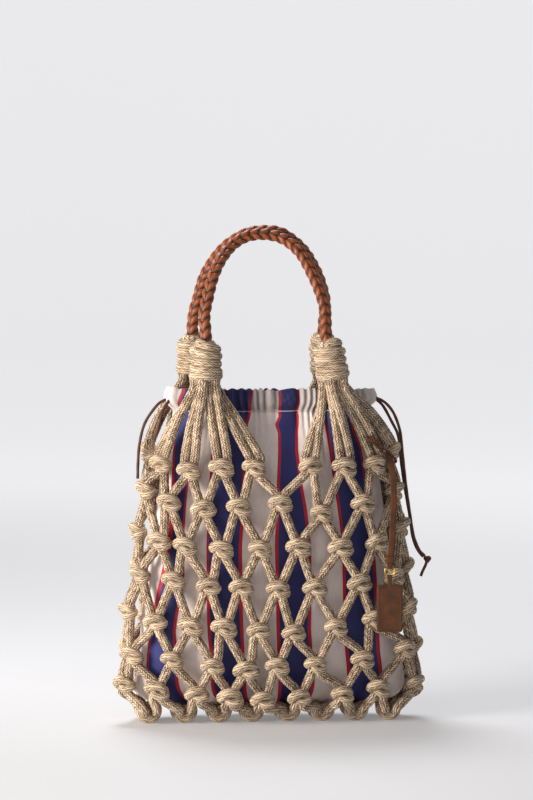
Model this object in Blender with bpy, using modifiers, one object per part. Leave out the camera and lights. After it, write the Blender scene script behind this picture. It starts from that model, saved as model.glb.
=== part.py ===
"""Knotted rope net bag with a striped drawstring pouch inside, two braided handles and a hang tag.

Metres, +Z up, the bag's front faces -Y. The origin is on the floor under the middle of the bag.
The net is 32 cords that cross at knots in seven rows and join in eight knots under the bag.
"""
import math
import random

import bmesh
import bpy
import numpy as np
from mathutils import Matrix, Vector

MM = 0.001
FIT = 0.3

# Driving sizes, in millimetres
CORD_R = 4.6
COLUMNS = 16
FRONT_SHARE = 0.478
FIRST_COLUMN = -0.012
OVAL_POWER = 2.3
JITTER = 1.3

# A strand's points at a knot: sideways, up and out from the knot's middle, and its radius there
OVER_BAND = ((-8.0, 5.0, 1.0, CORD_R), (-1.0, -2.0, 2.6, 5.8), (5.0, -5.0, 2.6, 6.2),
             (9.0, -9.0, 1.0, CORD_R))
UNDER_BAND = ((6.0, 6.0, 0.0, CORD_R), (0.0, 0.0, -1.0, 6.0), (-8.0, -7.0, 0.0, CORD_R))
UPPER_BAND = ((-10.0, -4.0, 0.5, 3.4), (-6.0, 3.0, 3.0, 4.8), (3.0, 6.0, 3.0, 4.8), (10.0, 3.0, 0.5, 3.4))

# One row of knots each: offset is in columns, height at the middle of the front, half sizes of the
# oval, rise of the side knots, slip of the left and right ends in columns, and the middle gap.
ROW_FIELDS = ("offset", "height", "half_width", "half_depth", "side_rise", "left", "right", "gap")
ROW_TABLE = (
    (0.0, 264.0, 121.5, 46.0, 9.0, -0.10, 0.30, 0.6),
    (0.5, 225.0, 126.0, 50.0, 11.0, -0.10, 0.70, 0.0),
    (0.0, 182.0, 131.0, 54.0, 13.0, 0.10, 0.30, 0.0),
    (0.5, 143.0, 137.0, 56.0, 13.0, 0.15, 0.25, 0.0),
    (0.0, 100.5, 142.0, 56.0, 14.0, 0.35, 0.10, 0.0),
    (0.5, 62.0, 146.0, 52.0, 12.0, 0.30, 0.20, 0.0),
    (0.0, 31.0, 149.5, 42.0, 10.0, 0.50, 0.20, 0.0),
)
ROWS = [dict(zip(ROW_FIELDS, values)) for values in ROW_TABLE]
# How far the front knots of each row stand off their even places, from the left, in whole millimetres
SLIPS = (
    (0, 3, 3, 2, 2, 3, 5, 5, 0),
    (5, -2, -3, -4, -1, 0, 0, 4),
    (0, 5, -2, -2, -1, -2, 0, 1, 0),
    (5, 5, 4, 0, -1, -6, -3, -3),
    (0, 4, 4, 1, -1, -8, -5, -5, 0),
    (-2, 6, 8, 5, -4, -5, 1, 5),
    (0, 2, 6, 7, 3, 0, 3, -2, 0),
)
LIFTS = (
    (1, -7, -6, -2, 0, 0, -2, -3, 2),
    (2, -3, -5, 0, 3, -9, -1, -1),
    (0, -3, 1, 1, 1, 2, 0, -1, 2),
    (-1, 4, 2, 1, 0, -1, 1, -2),
    (0, -1, 3, 3, -1, -2, 2, 4, 5),
    (0, 5, 2, -2, 1, 3, 6, 8),
    (0, 3, 3, -1, -2, -1, 0, 4, 0),
)
RIDGED_ROWS = (0, 1, 2, 3, 4, 5)
RIDGED_COLUMNS = (0.5, 7.5)

BOTTOM_COUNT = 8
BOTTOM_PITCH = 34.8
BOTTOM_SHIFT = -1.2
BOTTOM_HALF = (12.5, 20.0, 9.2)
BOTTOM_HEIGHT = 7.6
# A cord's last points under the bag: off the bag's middle plane, sideways off the joint knot, and up
JOINT_RUN = ((27.0, 6.3, 15.5), (16.0, 4.5, 11.5), (6.0, 2.7, 8.0))
NET_VOXEL = 1.6
NET_TRIANGLES = 9900
PINCH_GAP = 0.05

# Whipped heads: middle of the foot, lean of the top in X, first and last column of their cords
HEAD_FIELDS = ("x", "y", "lean", "first", "last")
HEAD_TABLE = {
    "front_left": (-68.0, -42.0, 0.0, 1, 4),
    "front_right": (60.0, -42.0, -6.5, 5, 8),
    "back_right": (62.0, 42.0, -3.0, 9, 12),
    "back_left": (-75.0, 42.0, 0.0, 13, 16),
}
HEADS = {name: dict(zip(HEAD_FIELDS, values)) for name, values in HEAD_TABLE.items()}
HEAD_FOOT = 350.0
HEAD_TALL = 40.0
HEAD_TURNS = 5
HEAD_CREST = 16.6
HEAD_VALLEY = 14.2
HEAD_STEPS = 11
HEAD_ROUND = 0.22
BUNDLE_R = 10.0
BUNDLE_SPREAD = 115.0
# A cord's first stretch: up into its head, down to its neck, its bow outward and upward, then
# how far sideways and above its first knot it comes in
CORD_TUCK = 5.0
CORD_NECK = 7.0
CORD_BOW = (4.0, 3.0)
CORD_ENTRY = (6.0, 6.0)

HANDLE_R = 6.0
HANDLE_SOCKET_R = 7.1
HANDLE_SOCKET = 6.0
HANDLE_POINTS = 29
HANDLE_ROUTES = {
    "front": ((-69, -38.5, 414), (-65.5, -35.5, 431.5), (-60.5, -31, 450), (-53.5, -25, 465.5),
              (-45.5, -18, 476.5), (-36.5, -12, 485), (-23.5, -7.5, 491.5), (-8, -6.5, 493.5),
              (7.5, -7.5, 491), (19.5, -12, 484.5), (30.5, -20, 473), (40.5, -29, 453.5),
              (48, -35, 434.5), (52, -38, 418)),
    "back": ((-73.5, 39, 412), (-69.5, 36.5, 427), (-64, 31.5, 447.5), (-55.5, 25.5, 464),
             (-46.5, 18, 476.5), (-36, 12, 486), (-22.5, 7.5, 493.5), (-6.5, 6.5, 496),
             (9.5, 7.5, 494.5), (23, 12, 487), (37, 19.5, 474), (49.5, 29.5, 454),
             (57, 35, 434.5), (60, 38.5, 418)),
}

# The pouch's sections from the seam under it to its mouth
POUCH_FIELDS = ("height", "half_width", "half_depth", "fold")
POUCH_TABLE = (
    (18.0, 112.0, 6.0, 0.0),
    (23.0, 127.0, 14.0, 0.0),
    (33.0, 136.0, 24.0, 1.0),
    (47.0, 137.0, 34.0, 2.2),
    (72.0, 134.5, 42.5, 3.2),
    (105.0, 132.0, 46.0, 3.6),
    (150.0, 126.0, 46.0, 3.8),
    (200.0, 119.0, 43.5, 4.2),
    (245.0, 113.0, 38.0, 4.4),
    (285.0, 106.0, 31.0, 4.6),
    (314.0, 102.0, 25.0, 5.0),
    (327.0, 107.5, 28.5, 4.4),
    (340.0, 106.5, 26.0, 5.4),
)
POUCH = [dict(zip(POUCH_FIELDS, values)) for values in POUCH_TABLE]
POUCH_AROUND = 42
POUCH_FOLDS = 11
CLOTH = 2.0

LACE_R = 1.5
LACE_ROUTES = {
    "right_outer": ((105.9, -3, 328), (116, -4, 323), (125, -5, 312), (131.5, -5, 294), (134, -5, 273),
                    (137.5, -6, 240), (142.5, -6, 205), (146, -5, 186), (152, -2, 172), (157.6, -1, 166)),
    "right_inner": ((106.2, 3, 327), (115, 4, 319), (124, 5, 303), (131, 6, 288), (133.5, 8, 268),
                    (137.5, 9, 240), (143, 9, 208), (146.5, 7, 184), (151.5, 4, 171), (156.6, 2.8, 164.6)),
    "left_outer": ((-104.4, -3, 328), (-114, -4, 322), (-126.5, -5, 304), (-132, -5, 283), (-133.6, -5, 263),
                   (-134, -6, 248)),
    "left_inner": ((-102.2, -8, 327), (-108.5, -10, 317), (-112.5, -11, 304), (-115.5, -11, 292)),
}
LACE_POINTS = {"right_outer": 28, "right_inner": 28, "left_outer": 14, "left_inner": 7}
LACE_KNOT = (160.5, 0.5, 162.5)
LACE_KNOT_R = 4.0
LACE_TAIL = (153.5, -2.0, 145.5)

# The hang tag: a hitch on the cords of one column, then in its own frame -Y is away from the bag
HITCH_COLUMN = 8
HITCH_ALONG = 0.7
HITCH_ROOM = 2.1
HITCH_THICK = 1.7
HITCH_POINTS = 14
TAG_TURN = 0.0
STRAP_WIDE = 6.5
STRAP_THICK = 1.8
STRAP_ROUTE = ((0.2, 3.0), (-7.0, -20.0), (-18.6, -62.0), (-29.0, -98.0), (-33.0, -122.0))
STRAP_POINTS = 9
WIRE_R = 0.8
EYE_HOLE_R = 1.2
EYE_WALL = 1.2
EYE_JOIN = 0.5
TAB_HOLE_R = 1.9
RING_HALF = 4.8
RING_TALL = 9.0
RING_CORNER = 0.3
RING_BAR = STRAP_ROUTE[-1][1] - EYE_HOLE_R - EYE_WALL + EYE_JOIN
PLATE_WIDE = 26.0
PLATE_TALL = 48.0
PLATE_THICK = 2.6
PLATE_CORNER = 2.0
TAB_WIDE = 4.0
TAB_TALL = 5.0

SIDE_ON = Matrix(((0, 0, 1, 0), (1, 0, 0, 0), (0, 1, 0, 0), (0, 0, 0, 1)))


def clear_scene():
    for item in list(bpy.data.objects):
        bpy.data.objects.remove(item)


def make_collection(name):
    group = bpy.data.collections.new(name)
    bpy.context.scene.collection.children.link(group)
    return group


def make_material(name, colour, roughness, metallic=0.0):
    material = bpy.data.materials.new(name)
    material.use_nodes = True
    shader = material.node_tree.nodes["Principled BSDF"]
    shader.inputs["Base Color"].default_value = (*colour, 1.0)
    shader.inputs["Roughness"].default_value = roughness
    shader.inputs["Metallic"].default_value = metallic
    material.diffuse_color = (*colour, 1.0)
    return material


def add_object(name, data, group, material=None):
    item = bpy.data.objects.new(name, data)
    group.objects.link(item)
    if material is not None:
        data.materials.clear()
        data.materials.append(material)
    return item


def mark_cutter(item):
    item.hide_render = True
    item.display_type = "WIRE"


def to_mesh(item, name, group, material):
    """Replace a curve by its evaluated mesh, with its caps welded."""
    bpy.context.view_layer.update()
    graph = bpy.context.evaluated_depsgraph_get()
    mesh = bpy.data.meshes.new_from_object(item.evaluated_get(graph))
    place = item.matrix_world.copy()
    bpy.data.objects.remove(item)
    work = bmesh.new()
    work.from_mesh(mesh)
    bmesh.ops.remove_doubles(work, verts=work.verts, dist=0.00001)
    work.to_mesh(mesh)
    work.free()
    result = add_object(name, mesh, group, material)
    result.matrix_world = place
    return result


def boolean(item, other, operation):
    modifier = item.modifiers.new(operation.lower(), "BOOLEAN")
    modifier.operation = operation
    modifier.object = other
    modifier.solver = "EXACT"


def smooth_route(points, count):
    """Equal steps along a smooth curve through the given points."""
    knots = np.array(points, float)
    padded = np.vstack([2 * knots[0] - knots[1], knots, 2 * knots[-1] - knots[-2]])
    steps = np.linspace(0, 1, 24, endpoint=False)[:, None]
    fine = []
    for before, start, end, after in zip(padded, padded[1:], padded[2:], padded[3:]):
        fine.append(0.5 * (2 * start + (end - before) * steps
                           + (2 * before - 5 * start + 4 * end - after) * steps ** 2
                           + (3 * start - before - 3 * end + after) * steps ** 3))
    fine = np.vstack(fine + [knots[-1:]])
    travelled = np.r_[0, np.cumsum(np.linalg.norm(np.diff(fine, axis=0), axis=1))]
    wanted = np.linspace(0, travelled[-1], count)
    return np.column_stack([np.interp(wanted, travelled, fine[:, axis]) for axis in range(3)])


def make_tubes(name, routes, group, resolution, cyclic=False):
    """One curve with a round tube along each route of (point, radius) pairs in millimetres."""
    curve = bpy.data.curves.new(name, "CURVE")
    curve.dimensions = "3D"
    curve.bevel_depth = 1.0
    curve.bevel_resolution = resolution
    curve.render_resolution_u = 0
    curve.use_fill_caps = True
    for route in routes:
        spline = curve.splines.new("POLY")
        spline.points.add(len(route) - 1)
        spline.use_cyclic_u = cyclic
        for point, (place, radius) in zip(spline.points, route):
            point.co = (place[0] * MM, place[1] * MM, place[2] * MM, 1.0)
            point.radius = radius * MM
    return add_object(name, curve, group)


def oval_point(half_width, half_depth, share):
    """A point of the oval, and its outward side, at a share of its length from the left end."""
    angle = np.linspace(0, 2 * math.pi, 721)
    across = -half_width * np.sign(np.cos(angle)) * np.abs(np.cos(angle)) ** (2 / OVAL_POWER)
    along = -half_depth * np.sign(np.sin(angle)) * np.abs(np.sin(angle)) ** (2 / OVAL_POWER)
    travelled = np.r_[0, np.cumsum(np.hypot(np.diff(across), np.diff(along)))]
    wanted = ((share + np.array([0.0, 0.004])) % 1.0) * travelled[-1]
    xs = np.interp(wanted, travelled, across)
    ys = np.interp(wanted, travelled, along)
    side = Vector((xs[1] - xs[0], ys[1] - ys[0], 0)).normalized()
    return Vector((xs[0], ys[0], 0)), side, Vector((side.y, -side.x, 0))


def column_share(row, column):
    """Where a column's knot stands round the bag, with the row's slips and middle gap."""
    half_gap = row["gap"] / 2
    stops = (0, 4, 5, 8, 12, 13, COLUMNS)
    moved = (row["left"], 4 - half_gap, 5 + half_gap + row["right"] / 4, 8 + row["right"],
             12 - half_gap, 13 + half_gap, COLUMNS + row["left"])
    place = float(np.interp(column % COLUMNS, stops, moved))
    half = COLUMNS / 2
    if place <= half:
        return FIRST_COLUMN + place * FRONT_SHARE / half
    return FIRST_COLUMN + FRONT_SHARE + (place - half) * (1 - FRONT_SHARE) / half


def hand_slip(level, column):
    """How far a front knot stands off its even place, sideways and up."""
    if column % COLUMNS > COLUMNS / 2:
        return 0.0, 0.0
    index = int(column % COLUMNS)
    return SLIPS[level][index], LIFTS[level][index]


def knot_frame(level, column):
    """A knot's middle, its sideways and outward directions."""
    row = ROWS[level]
    place, side, out = oval_point(row["half_width"], row["half_depth"], column_share(row, column))
    rise = row["side_rise"] * abs(place.x / row["half_width"]) ** 4
    chance = random.Random(int(level * 100 + (column % COLUMNS) * 2))
    slip, lift = hand_slip(level, column)
    place.z = row["height"] + rise + lift + chance.uniform(-JITTER, JITTER)
    place += side * (slip + chance.uniform(-JITTER, JITTER))
    return place, side, out


def head_point(head, height, around=None):
    """A point on a head's axis, or on its bundle of cords at an angle from the front."""
    rise = (height - HEAD_FOOT) / HEAD_TALL
    place = Vector((head["x"] + head["lean"] * rise, head["y"], height))
    if around is not None:
        facing = math.copysign(1.0, head["y"])
        turn = math.radians(around)
        place += Vector((-facing * BUNDLE_R * math.sin(turn), facing * BUNDLE_R * math.cos(turn), 0))
    return place


def head_frame(head):
    """The head's own frame, with its foot at the origin and its lean along Z."""
    lean = Vector((head["lean"], 0, HEAD_TALL)).normalized()
    foot = Vector((head["x"], head["y"], HEAD_FOOT)) * MM
    return Matrix.Translation(foot) @ lean.to_track_quat("Z", "Y").to_matrix().to_4x4()


def head_of(column):
    column = COLUMNS if column == 0 else column
    return next(head for head in HEADS.values() if head["first"] <= column <= head["last"])


def cord_start(column, right_side):
    """The cord's points from under its whipping down to just above its first knot."""
    head = head_of(column)
    column = COLUMNS if column == 0 else column
    order = (column - head["first"]) * 2 + (1 if right_side else 0)
    around = BUNDLE_SPREAD * (2 * order / 7 - 1)
    top = head_point(head, HEAD_FOOT + CORD_TUCK, around)
    neck = head_point(head, HEAD_FOOT - CORD_NECK, around)
    place, side, out = knot_frame(0, column)
    across, above = CORD_ENTRY
    entry = place + side * (across if right_side else -across) + Vector((0, 0, above))
    middle = neck.lerp(entry, 0.5) + out * CORD_BOW[0] + Vector((0, 0, CORD_BOW[1]))
    return [top, neck, middle]


def band_points(level, column, band):
    """A strand's points through a knot, each with its radius."""
    place, side, out = knot_frame(level, column)
    return [(place + side * across + out * outward + Vector((0, 0, up)), radius)
            for across, up, outward, radius in band]


def joint_middle(index):
    return (index - (BOTTOM_COUNT - 1) / 2) * BOTTOM_PITCH + BOTTOM_SHIFT


def joint_points(column, last):
    """The cord's run in under the bag, down into its joint knot."""
    column = int(column % COLUMNS)
    front = column < BOTTOM_COUNT
    index = column if front else COLUMNS - 1 - column
    middle = joint_middle(index)
    facing = -1 if front else 1
    hand = 1 if last.x > middle else -1
    return [(Vector((middle + hand * across, facing * along, up)), CORD_R)
            for along, across, up in JOINT_RUN]


def cord_route(start, to_right):
    """One cord's points and radii from its head, through the seven rows, to under the bag."""
    step = 0.5 if to_right else -0.5
    band = OVER_BAND if to_right else UNDER_BAND
    points = [(place, CORD_R) for place in cord_start(start, not to_right)]
    for level in range(len(ROWS)):
        points += band_points(level, start + step * level, band)
    return points + joint_points(start + step * len(ROWS), points[-1][0])


def ridged_knots():
    """The knots that show best, at most 45."""
    found = []
    for level in RIDGED_ROWS:
        offset = ROWS[level]["offset"]
        column = RIDGED_COLUMNS[0] + (0.0 if offset else 0.5)
        while column <= RIDGED_COLUMNS[1]:
            found.append((level, column))
            column += 1
    return found


def box_cutter(name, low, high, tools):
    """A box between two corners in millimetres, kept with the cutters."""
    mesh = bpy.data.meshes.new(name)
    work = bmesh.new()
    bmesh.ops.create_cube(work, size=1.0)
    size = [(b - a) * MM for a, b in zip(low, high)]
    middle = [(a + b) / 2 * MM for a, b in zip(low, high)]
    place = Matrix.Translation(middle) @ Matrix.Diagonal((*size, 1.0))
    bmesh.ops.transform(work, verts=work.verts, matrix=place)
    work.to_mesh(mesh)
    work.free()
    box = add_object(name, mesh, tools)
    mark_cutter(box)
    return box


def add_bottom_knots(mesh):
    """The eight joint knots under the bag, flat where they stand."""
    work = bmesh.new()
    work.from_mesh(mesh)
    for index in range(BOTTOM_COUNT):
        lump = bmesh.ops.create_uvsphere(work, u_segments=16, v_segments=10, radius=1.0)["verts"]
        size = Matrix.Diagonal((*[half * MM for half in BOTTOM_HALF], 1.0))
        place = Matrix.Translation((joint_middle(index) * MM, 0, BOTTOM_HEIGHT * MM))
        bmesh.ops.transform(work, verts=lump, matrix=place @ size)
    work.to_mesh(mesh)
    work.free()


def evaluated_arrays(item):
    """The item's mesh with its modifiers, as points and triangles."""
    bpy.context.view_layer.update()
    mesh = item.evaluated_get(bpy.context.evaluated_depsgraph_get()).to_mesh()
    mesh.calc_loop_triangles()
    points = np.empty(len(mesh.vertices) * 3)
    mesh.vertices.foreach_get("co", points)
    triangles = np.empty(len(mesh.loop_triangles) * 3, np.int64)
    mesh.loop_triangles.foreach_get("vertices", triangles)
    return points.reshape(-1, 3), triangles.reshape(-1, 3)


def without_twins(triangles):
    """Drop pairs of triangles that lie back to back on the same three points."""
    corners = np.sort(triangles, axis=1)
    _, index, uses = np.unique(corners, axis=0, return_inverse=True, return_counts=True)
    return triangles[uses[index.ravel()] == 1]


def open_pinches(points, triangles):
    """Where two folds of the surface share an edge, give each its own middle point, a hair apart."""
    users = {}
    for number, corners in enumerate(triangles):
        for step in range(3):
            start, end, far = (int(corners[(step + turn) % 3]) for turn in range(3))
            users.setdefault((min(start, end), max(start, end)), []).append((number, start < end, far))
    points, triangles = list(points), [tuple(corners) for corners in triangles]
    for (start, end), around in users.items():
        if len(around) < 3:
            continue
        axis = Vector(points[end] - points[start]).normalized()
        across = axis.orthogonal().normalized()
        upward = axis.cross(across)
        middle = (points[start] + points[end]) / 2
        turned = []
        for number, forward, far in around:
            arm = Vector(points[far] - middle)
            turned.append((math.atan2(arm.dot(upward), arm.dot(across)), forward, number, far))
        turned.sort()
        first = next(place for place, entry in enumerate(turned) if not entry[1])
        turned = turned[first:] + turned[:first]
        for begin, close in zip(turned[::2], turned[1::2]):
            turn = begin[0] + ((close[0] - begin[0]) % (2 * math.pi)) / 2
            inward = math.cos(turn) * across + math.sin(turn) * upward
            points.append(middle + np.array(inward) * PINCH_GAP * MM)
            for _, forward, number, far in (begin, close):
                low, high = (start, end) if forward else (end, start)
                triangles[number] = (low, len(points) - 1, far)
                triangles.append((len(points) - 1, high, far))
    return np.array(points), triangles


def build_net(parts, tools, material):
    """The net's cords and knots, fused by a voxel remesh, thinned, then cut flat at its ends."""
    routes = [cord_route(start, to_right) for start in range(COLUMNS) for to_right in (True, False)]
    routes += [band_points(level, column, UPPER_BAND) for level, column in ridged_knots()]
    cords = make_tubes("net_cords", routes, tools, 2)
    net = to_mesh(cords, "net", parts, material)
    add_bottom_knots(net.data)
    fuse = net.modifiers.new("fuse", "REMESH")
    fuse.mode = "VOXEL"
    fuse.voxel_size = NET_VOXEL * MM
    whole = len(evaluated_arrays(net)[1])
    thin = net.modifiers.new("thin", "DECIMATE")
    thin.ratio = NET_TRIANGLES / whole
    points, triangles = evaluated_arrays(net)
    points, triangles = open_pinches(points, without_twins(triangles))
    net.modifiers.clear()
    net.data.clear_geometry()
    net.data.from_pydata(points, [], triangles)
    floor = box_cutter("below_floor", (-200, -120, -30), (200, 120, 0), tools)
    boolean(net, floor, "DIFFERENCE")
    for name, head in HEADS.items():
        above = box_cutter("above_net_" + name, (-25, -25, -FIT), (25, 25, 30), tools)
        above.matrix_world = head_frame(head)
        boolean(net, above, "DIFFERENCE")
    return net


def make_head(name, head, parts, material):
    """A turned stack of rounded turns of cord with a socket for the handle's end."""
    pitch = HEAD_TALL / HEAD_TURNS
    outline = [(0.0, HEAD_TALL - HANDLE_SOCKET), (HANDLE_SOCKET_R, HEAD_TALL - HANDLE_SOCKET),
               (HANDLE_SOCKET_R, HEAD_TALL - 1.0), (HANDLE_SOCKET_R + 3.0, HEAD_TALL)]
    for turn in range(HEAD_TURNS):
        middle = HEAD_TALL - (turn + 0.5) * pitch
        crest = HEAD_CREST - (1.6 if turn == 0 else 0.0)
        outline += [(crest, middle + pitch * HEAD_ROUND), (crest, middle - pitch * HEAD_ROUND)]
        if turn < HEAD_TURNS - 1:
            outline.append((HEAD_VALLEY, middle - pitch / 2))
    outline += [(HEAD_VALLEY - 1.0, 0.0), (0.0, 0.0)]
    mesh = bpy.data.meshes.new(name)
    work = bmesh.new()
    verts = [work.verts.new((radius * MM, 0, height * MM)) for radius, height in outline]
    for first, second in zip(verts, verts[1:]):
        work.edges.new((first, second))
    work.to_mesh(mesh)
    work.free()
    item = add_object(name, mesh, parts, material)
    screw = item.modifiers.new("turn", "SCREW")
    screw.steps = screw.render_steps = HEAD_STEPS
    screw.use_merge_vertices = True
    screw.merge_threshold = 0.00001
    screw.use_normal_calculate = True
    item.matrix_world = head_frame(head)
    return item


def make_handle(side, parts, material):
    """A round handle from one head's socket, over the top, into the other head's socket."""
    route = list(HANDLE_ROUTES[side])
    seat = HEAD_FOOT + HEAD_TALL - HANDLE_SOCKET + 2 * FIT
    clear = HEAD_FOOT + HEAD_TALL + 6
    left, right = HEADS[side + "_left"], HEADS[side + "_right"]
    ends = [tuple(head_point(head, height)) for head in (left, right) for height in (seat, clear)]
    points = smooth_route([ends[0], ends[1], *route, ends[3], ends[2]], HANDLE_POINTS)
    curve = make_tubes("handle_" + side + "_curve", [[(point, HANDLE_R) for point in points]], parts, 2)
    return to_mesh(curve, "handle_" + side, parts, material)


def pouch_ring(section, inset, lift=0.0):
    """One ring of the pouch: an even walk round its oval, drawn in by uneven soft folds."""
    ring = []
    for step in range(POUCH_AROUND):
        share = step / POUCH_AROUND
        place, side, out = oval_point(section["half_width"] - inset, section["half_depth"] - inset, share)
        turn = 2 * math.pi * share
        wave = 0.6 * math.sin(POUCH_FOLDS * turn + 1.3 * math.sin(3 * turn))
        wave += 0.4 * math.sin(7 * turn + 2.0)
        inward = section["fold"] * (0.5 + 0.5 * wave)
        ring.append(place - out * inward + Vector((0, 0, section["height"] + lift)))
    return ring


def make_pouch(parts, material):
    """The cloth bag: one sheet lofted up its outside, over the rim and down its inside."""
    outer = [pouch_ring(section, 0.0) for section in POUCH]
    inner = [pouch_ring(section, CLOTH) for section in reversed(POUCH[1:])]
    floor = pouch_ring(POUCH[0], CLOTH, CLOTH)
    work = bmesh.new()
    rings = [[work.verts.new(place * MM) for place in ring] for ring in outer + inner + [floor]]
    for below, above in zip(rings, rings[1:]):
        for step in range(POUCH_AROUND):
            after = (step + 1) % POUCH_AROUND
            work.faces.new((below[step], below[after], above[after], above[step]))
    work.faces.new(list(reversed(rings[0])))
    work.faces.new(rings[-1])
    bmesh.ops.recalc_face_normals(work, faces=work.faces)
    mesh = bpy.data.meshes.new("pouch")
    work.to_mesh(mesh)
    work.free()
    return add_object("pouch", mesh, parts, material)


def make_lace(name, parts, material):
    points = smooth_route(LACE_ROUTES[name], LACE_POINTS[name])
    curve = make_tubes("curve_" + name, [[(point, LACE_R) for point in points]], parts, 2)
    return to_mesh(curve, "lace_" + name, parts, material)


def make_lace_knot(parts, material):
    """The small knot that joins the two laces, with its short free tail."""
    knot = Vector(LACE_KNOT)
    tail = Vector(LACE_TAIL)
    body = [(knot + Vector((0, 0, LACE_KNOT_R)), 1.6), (knot + Vector((0, 0, 1.6)), LACE_KNOT_R * 0.9),
            (knot - Vector((0, 0, 1.6)), LACE_KNOT_R * 0.9), (knot - Vector((0.6, 0, LACE_KNOT_R)), LACE_R),
            (knot.lerp(tail, 0.6), LACE_R), (tail, LACE_R)]
    return to_mesh(make_tubes("curve_lace_knot", [body], parts, 2), "lace_knot", parts, material)


def flat_curve(name, outlines, thick, parts):
    """A flat piece from closed outlines in its own X and Y, with its thickness along Z."""
    curve = bpy.data.curves.new(name, "CURVE")
    curve.dimensions = "2D"
    curve.fill_mode = "BOTH"
    curve.extrude = thick / 2 * MM
    curve.render_resolution_u = 0
    for outline in outlines:
        spline = curve.splines.new("POLY")
        spline.points.add(len(outline) - 1)
        spline.use_cyclic_u = True
        for point, (across, along) in zip(spline.points, outline):
            point.co = (across * MM, along * MM, 0, 1.0)
    return add_object(name, curve, parts)


def hitch_frame():
    """The middle of the strap's hitch on a pair of cords, its three directions and the cords' spread."""
    ends = []
    for to_right in (True, False):
        middle = cord_start(HITCH_COLUMN, not to_right)[-1]
        entry = band_points(0, HITCH_COLUMN, OVER_BAND if to_right else UNDER_BAND)[0][0]
        ends.append((middle.lerp(entry, HITCH_ALONG), (entry - middle).normalized()))
    axis = -(ends[0][1] + ends[1][1]).normalized()
    apart = ends[1][0] - ends[0][0]
    apart -= axis * apart.dot(axis)
    across = apart.normalized()
    if across.y > 0:
        across = -across
    frame = Matrix((across, axis.cross(across), axis)).transposed().to_4x4()
    return (ends[0][0] + ends[1][0]) / 2, frame, apart.length / 2


def make_strap(parts, tools, material):
    """The strap: a hitch round a pair of cords, a strip down over the net and an eye for the ring."""
    place = tag_frame()
    path = smooth_route([(along, height, 0) for along, height in STRAP_ROUTE], STRAP_POINTS)
    normals = np.gradient(path[:, :2], axis=0)
    normals = np.column_stack([normals[:, 1], -normals[:, 0]]) / np.linalg.norm(normals, axis=1)[:, None]
    near = path[:, :2] + normals * STRAP_THICK / 2
    far = path[:, :2] - normals * STRAP_THICK / 2
    strip = flat_curve("strip", [[*map(tuple, near), *map(tuple, far[::-1])]], STRAP_WIDE, parts)
    strip.matrix_world = place @ SIDE_ON
    strip = to_mesh(strip, "tag_strap", parts, material)
    join_eye(strip, STRAP_ROUTE[-1], -1, EYE_HOLE_R, STRAP_WIDE, place, tools)
    middle, frame, half = hitch_frame()
    long_half = half + CORD_R + HITCH_ROOM
    short_half = CORD_R + HITCH_ROOM
    outlines = [oval(long_half + grow, short_half + grow, HITCH_POINTS) for grow in (HITCH_THICK, 0.0)]
    hitch = flat_curve("hitch", outlines, STRAP_WIDE, tools)
    hitch.matrix_world = Matrix.Translation(middle * MM) @ frame
    hitch = to_mesh(hitch, "strap_hitch", tools, material)
    mark_cutter(hitch)
    boolean(strip, hitch, "UNION")


def oval(half_wide, half_tall, count):
    turns = [2 * math.pi * (step + 0.5) / count for step in range(count)]
    return [(half_wide * math.cos(turn), half_tall * math.sin(turn)) for turn in turns]


def tag_frame():
    """The tag's own frame, on the hitch's front side, with -Y away from the bag."""
    middle, frame, half = hitch_frame()
    start = middle + frame.col[0].to_3d() * (half + CORD_R + HITCH_ROOM + HITCH_THICK / 2)
    return Matrix.Translation(start * MM) @ Matrix.Rotation(math.radians(TAG_TURN), 4, "Z")


def join_eye(item, end, below, hole, wide, place, tools):
    """Fuse an eye for the ring's wire to an end of a strip, above or below it."""
    middle = (end[0], end[1] + below * (hole + EYE_WALL - EYE_JOIN))
    outlines = [[(middle[0] + x, middle[1] + y) for x, y in oval(radius, radius, 10)]
                for radius in (hole + EYE_WALL, hole)]
    eye = flat_curve("eye", outlines, wide, tools)
    eye.matrix_world = place @ SIDE_ON
    eye = to_mesh(eye, item.name + "_eye", tools, item.data.materials[0])
    mark_cutter(eye)
    boolean(item, eye, "UNION")


def make_ring(parts, material):
    """The D-ring: a straight bar in the strap's eye and a bow through the tab's eye."""
    along = STRAP_ROUTE[-1][0]
    turns = [math.pi * step / 8 for step in range(9)]
    bow = [(-RING_HALF * math.cos(turn), along, RING_BAR - RING_TALL + RING_HALF * (1 - math.sin(turn)))
           for turn in turns]
    corner = RING_HALF - RING_CORNER
    outline = [(-corner, along, RING_BAR), *bow, (corner, along, RING_BAR)]
    ring = make_tubes("ring", [[(point, WIRE_R) for point in outline]], parts, 1, cyclic=True)
    ring.matrix_world = tag_frame()
    return to_mesh(ring, "tag_ring", parts, material)


def make_plate(parts, tools, material):
    """The blank leather plate with its tab, and the tab's eye round the ring's bow."""
    place = tag_frame()
    along = STRAP_ROUTE[-1][0]
    tab_top = RING_BAR - RING_TALL - TAB_HOLE_R - EYE_WALL + EYE_JOIN
    top = tab_top - TAB_TALL
    half, low, corner = PLATE_WIDE / 2, top - PLATE_TALL, PLATE_CORNER
    right = [(TAB_WIDE / 2, tab_top), (TAB_WIDE / 2, top), (half - corner, top), (half, top - corner),
             (half, low + corner), (half - corner, low)]
    outline = right + [(-x, z) for x, z in reversed(right)]
    plate = flat_curve("plate", [outline], PLATE_THICK, parts)
    upright = Matrix.Rotation(math.radians(90), 4, "X")
    plate.matrix_world = place @ Matrix.Translation((0, along * MM, 0)) @ upright
    plate = to_mesh(plate, "tag_plate", parts, material)
    join_eye(plate, (along, tab_top), 1, TAB_HOLE_R, TAB_WIDE, place, tools)


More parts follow.
